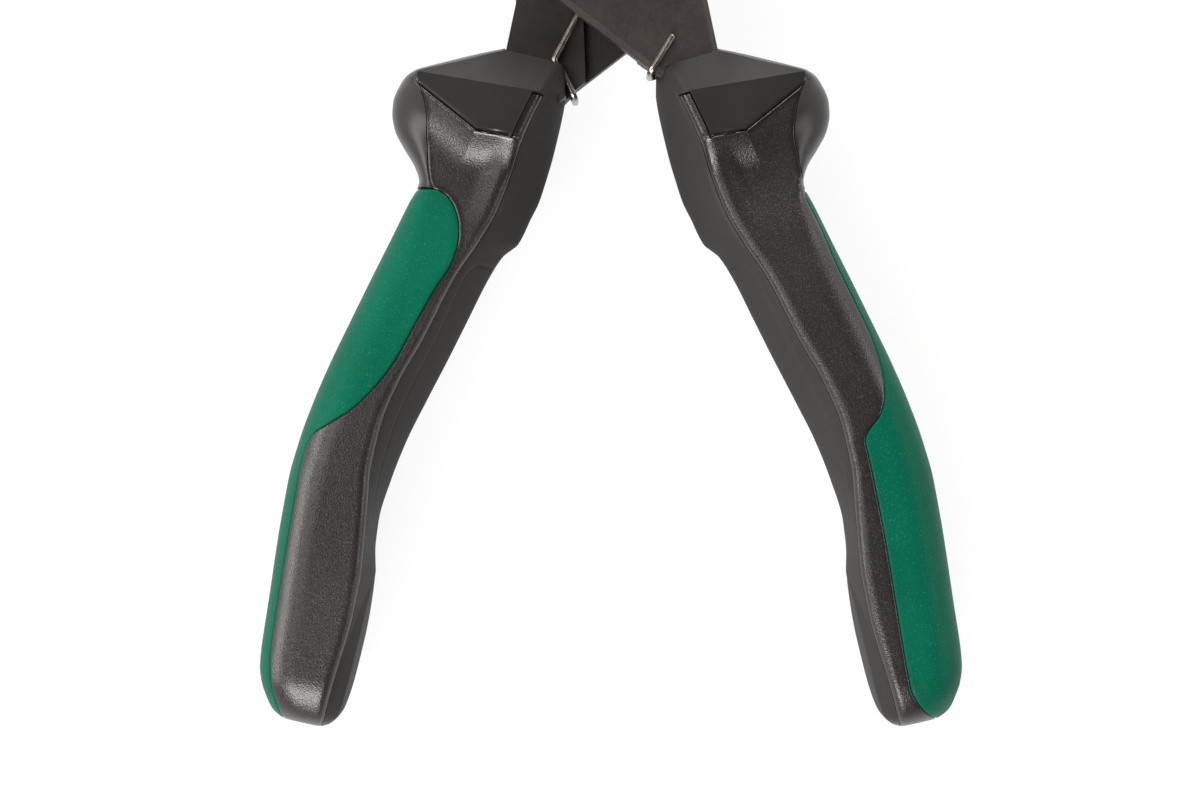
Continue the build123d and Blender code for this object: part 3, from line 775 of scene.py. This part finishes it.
def grained_rubber(name, dark, light, painted_glint, gloss, shine):
    """Soft moulded rubber with a fine pebbled grain and small light specks on the grain's tops, which are
    painted glints:
    painted highlights where the grain would catch the light. The grain and its painted glints fade out and
    the gloss grows at the rim of the moulding."""
    material, nodes, links, shader, place = new_material(name)
    pebbles = nodes.new("ShaderNodeTexVoronoi")
    pebbles.feature = "SMOOTH_F1"
    pebbles.inputs["Scale"].default_value = 4600
    pebbles.inputs["Smoothness"].default_value = 0.45
    links.new(place, pebbles.inputs["Vector"])
    rim = share_of(nodes, "rim")
    grain = maths(nodes, links, "SUBTRACT", 1.0, rim)
    fine = noise(nodes, links, place, 4200, 2.0)
    broad = noise(nodes, links, place, 60, 3.0)
    mix = nodes.new("ShaderNodeMix")
    mix.data_type = "RGBA"
    mix.blend_type = "ADD"
    links.new(grain, mix.inputs["Factor"])
    links.new(ramp(nodes, links, broad, 0.35, 0.68, dark, light), mix.inputs["A"])
    # painted highlight: where the fine noise is high, on the grain's tops, the colour turns lighter to
    # stand in for glints of light
    links.new(ramp(nodes, links, fine, 0.60, 0.74, (0, 0, 0), painted_glint), mix.inputs["B"])
    links.new(mix.outputs["Result"], shader.inputs["Base Color"])
    rough = rescale(nodes, links, fine, 0.3, 0.7, gloss - 0.05, gloss + 0.07)
    polish = maths(nodes, links, "MULTIPLY", rim, 0.16)
    links.new(maths(nodes, links, "SUBTRACT", rough, polish), shader.inputs["Roughness"])
    first = bump(nodes, links, pebbles.outputs["Distance"], 1.0, 0.00009)
    last = bump(nodes, links, fine, 1.0, 0.00006, first)
    links.new(maths(nodes, links, "MULTIPLY", grain, 0.40), first.node.inputs["Strength"])
    links.new(maths(nodes, links, "MULTIPLY", grain, 0.30), last.node.inputs["Strength"])
    links.new(last, shader.inputs["Normal"])
    shader.inputs["Specular IOR Level"].default_value = shine
    return material


def smooth_moulding(name, dark, light):
    """Hard black plastic with a satin moulded surface, duller on the inner side, where a shallow ring
    is sunk."""
    material, nodes, links, shader, place = new_material(name)
    fine = noise(nodes, links, place, 2600, 2.0)
    broad = noise(nodes, links, place, 45, 3.0)
    links.new(ramp(nodes, links, broad, 0.3, 0.7, dark, light), shader.inputs["Base Color"])
    satin = rescale(nodes, links, broad, 0.3, 0.7, 0.29, 0.36)
    dull = maths(nodes, links, "MULTIPLY", share_of(nodes, "inward"), 0.34)
    links.new(maths(nodes, links, "ADD", satin, dull), shader.inputs["Roughness"])
    plan = nodes.new("ShaderNodeUVMap")
    plan.uv_map = "plan"
    parts = nodes.new("ShaderNodeSeparateXYZ")
    links.new(plan.outputs["UV"], parts.inputs["Vector"])
    ring = ring_groove(nodes, links, parts.outputs["X"], parts.outputs["Y"])
    first = bump(nodes, links, fine, 0.16, 0.00005)
    links.new(bump(nodes, links, ring, 0.7, 0.00022, first), shader.inputs["Normal"])
    shader.inputs["Specular IOR Level"].default_value = 0.22
    return material


def maths(nodes, links, kind, first, second=None):
    node = nodes.new("ShaderNodeMath")
    node.operation = kind
    for place, value in enumerate((first, second)):
        if value is None:
            continue
        if isinstance(value, (int, float)):
            node.inputs[place].default_value = value
        else:
            links.new(value, node.inputs[place])
    return node.outputs[0]


def beyond(nodes, links, value, half):
    """How far a value lies beyond a half width on either side of zero, and 0 within it."""
    size = maths(nodes, links, "ABSOLUTE", value)
    return maths(nodes, links, "MAXIMUM", maths(nodes, links, "SUBTRACT", size, half), 0.0)


def ring_groove(nodes, links, down, height):
    """Distance from the outline of a long rounded rectangle on the inner side, cut off to a narrow line:
    height 0 on the line and 1 away from it."""
    middle, half_length, half_width, corner = 0.0760, 0.0175, 0.0042, 0.0022
    along = beyond(nodes, links, maths(nodes, links, "SUBTRACT", down, middle), half_length)
    aside = beyond(nodes, links, height, half_width)
    along = maths(nodes, links, "MULTIPLY", along, along)
    aside = maths(nodes, links, "MULTIPLY", aside, aside)
    length = maths(nodes, links, "SQRT", maths(nodes, links, "ADD", along, aside))
    away = maths(nodes, links, "ABSOLUTE", maths(nodes, links, "SUBTRACT", length, corner))
    return rescale(nodes, links, away, 0.0, 0.00042, 0.0, 1.0)


def forged_steel(name, dark, light, gloss):
    """Dark forged and oiled steel: faint blotches and a fine blasted grain."""
    material, nodes, links, shader, place = new_material(name)
    fine = noise(nodes, links, place, 1900, 4.0, 0.7)
    broad = noise(nodes, links, place, 160, 4.0, 0.6)
    rough = rescale(nodes, links, fine, 0.25, 0.75, gloss - 0.07, gloss + 0.12)
    links.new(ramp(nodes, links, broad, 0.32, 0.7, dark, light), shader.inputs["Base Color"])
    links.new(rough, shader.inputs["Roughness"])
    first = bump(nodes, links, broad, 0.20, 0.00022)
    links.new(bump(nodes, links, fine, 0.32, 0.00011, first), shader.inputs["Normal"])
    shader.inputs["Metallic"].default_value = 0.55
    return material


def drawn_wire(name, dark, light):
    """Bright drawn spring wire with fine marks."""
    material, nodes, links, shader, place = new_material(name)
    fine = noise(nodes, links, place, 320, 3.0, 0.6)
    links.new(ramp(nodes, links, fine, 0.3, 0.75, dark, light), shader.inputs["Base Color"])
    links.new(rescale(nodes, links, fine, 0.3, 0.7, 0.24, 0.32), shader.inputs["Roughness"])
    shader.inputs["Metallic"].default_value = 1.0
    return material


def give(node, material):
    """A CAD node keeps its shape and takes this material in all its slots."""
    slots = frame["nodes"][node].data.materials
    if len(slots) == 0:
        slots.append(material)
    for number in range(len(slots)):
        slots[number] = material


# the pliers

plastic = smooth_moulding("hard satin plastic", (0.010, 0.0094, 0.0090), (0.014, 0.0130, 0.0124))
# The third colour of each rubber is its painted glint, a painted highlight on the grain's tops.
black_rubber = grained_rubber(
    "grained black rubber", (0.0072, 0.0064, 0.0061), (0.0104, 0.0091, 0.0087), (0.026, 0.0230, 0.0215),
    0.34, 0.42,
)
green_rubber = grained_rubber(
    "grained green rubber", (0.0, 0.053, 0.0305), (0.0003, 0.061, 0.0350), (0.006, 0.060, 0.044),
    0.46, 0.05,
)
steel = forged_steel("dark forged steel", (0.0145, 0.0120, 0.0106), (0.0240, 0.0205, 0.0180), 0.50)
rivet_steel = forged_steel("dark turned steel", (0.040, 0.035, 0.031), (0.060, 0.053, 0.048), 0.40)
wire_steel = drawn_wire("bright spring wire", (0.27, 0.25, 0.22), (0.38, 0.355, 0.32))

for side in ("left", "right"):
    body = side + "_half"
    hard = moulding(side, plastic)
    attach(hard, body)
    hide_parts(side + "_handle_core")
    soft = cover(side, black_rubber)
    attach(soft, body)
    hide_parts(side + "_soft_cover")
    colour = inlay(side, green_rubber)
    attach(colour, body)
    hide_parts(side + "_colour_inlay")
    give(side + "_arm", steel)
give("pivot_rivet", rivet_steel)
spring(wire_steel)


# floor, light and camera

def white_floor(reach=2.5, glow_share=0.90):
    """A wide pale floor. What the camera or a reflection sees of it is close to white, and it keeps
    a soft shadow of the pliers."""
    mesh = bpy.data.meshes.new("floor")
    corners = [(-reach, -reach, 0), (reach, -reach, 0), (reach, reach, 0), (-reach, reach, 0)]
    mesh.from_pydata(corners, [], [(0, 1, 2, 3)])
    floor = bpy.data.objects.new("floor", mesh)
    bpy.context.scene.collection.objects.link(floor)
    material, nodes, links, shader, place = new_material("pale floor")
    shader.inputs["Base Color"].default_value = (0.80, 0.80, 0.80, 1)
    shader.inputs["Roughness"].default_value = 0.9
    shader.inputs["Specular IOR Level"].default_value = 0.1
    glow = nodes.new("ShaderNodeEmission")
    glow.inputs["Color"].default_value = (1, 1, 1, 1)
    glow.inputs["Strength"].default_value = 1.0
    rays = nodes.new("ShaderNodeLightPath")
    seen = maths(nodes, links, "MAXIMUM", rays.outputs["Is Camera Ray"], rays.outputs["Is Glossy Ray"])
    seen = maths(nodes, links, "MAXIMUM", seen, rays.outputs["Is Transmission Ray"])
    mix = nodes.new("ShaderNodeMixShader")
    links.new(maths(nodes, links, "MULTIPLY", seen, glow_share), mix.inputs["Fac"])
    links.new(shader.outputs["BSDF"], mix.inputs[1])
    links.new(glow.outputs["Emission"], mix.inputs[2])
    links.new(mix.outputs["Shader"], nodes["Material Output"].inputs["Surface"])
    mesh.materials.append(material)


def soft_light(name, place, wide, tall, power):
    """A slightly warm lamp with a broad face, aimed at the pliers."""
    light = bpy.data.lights.new(name, "AREA")
    light.shape = "RECTANGLE"
    light.size = wide
    light.size_y = tall
    light.energy = power
    light.color = (1.0, 0.955, 0.93)
    lamp = bpy.data.objects.new(name, light)
    bpy.context.scene.collection.objects.link(lamp)
    lamp.location = place
    heading = np.array(LAMP_AIM) - np.array(place)
    lamp.rotation_euler = Vector(heading).to_track_quat("-Z", "Y").to_euler()


def studio():
    """A dim white room with windows above the nose and at both sides, and two lamps on the left."""
    world = bpy.data.worlds.new("studio")
    world.use_nodes = True
    back = world.node_tree.nodes["Background"]
    back.inputs["Color"].default_value = (1, 1, 1, 1)
    back.inputs["Strength"].default_value = 0.07
    bpy.context.scene.world = world
    soft_light("window above the nose", (0.0, 0.95, 0.42), 1.3, 0.6, 29.0)
    soft_light("window on the left", (-0.90, -0.05, 0.27), 0.8, 0.36, 9.8)
    soft_light("lamp overhead on the left", (-0.55, 0.10, 0.88), 0.24, 0.6, 3.4)
    soft_light("window on the right", (0.95, 0.05, 0.27), 0.9, 0.36, 6.0)
    soft_light("lamp below on the left", (-0.26, -0.72, 0.60), 0.60, 0.42, 17.0)
    bpy.context.scene.view_settings.view_transform = "Standard"


def photo_camera():
    """Straight down on the handles, with the nose out of the picture above."""
    data = bpy.data.cameras.new("camera")
    data.lens = 75.0
    data.sensor_width = 36.0
    data.clip_start = 0.01
    camera = bpy.data.objects.new("camera", data)
    bpy.context.scene.collection.objects.link(camera)
    camera.location = (PIVOT[0] - 0.0016, PIVOT[1] - 0.0735, PIVOT[2] + 0.368)
    camera.rotation_euler = (0.0, 0.0, 0.0)
    bpy.context.scene.camera = camera


white_floor()
studio()
photo_camera()
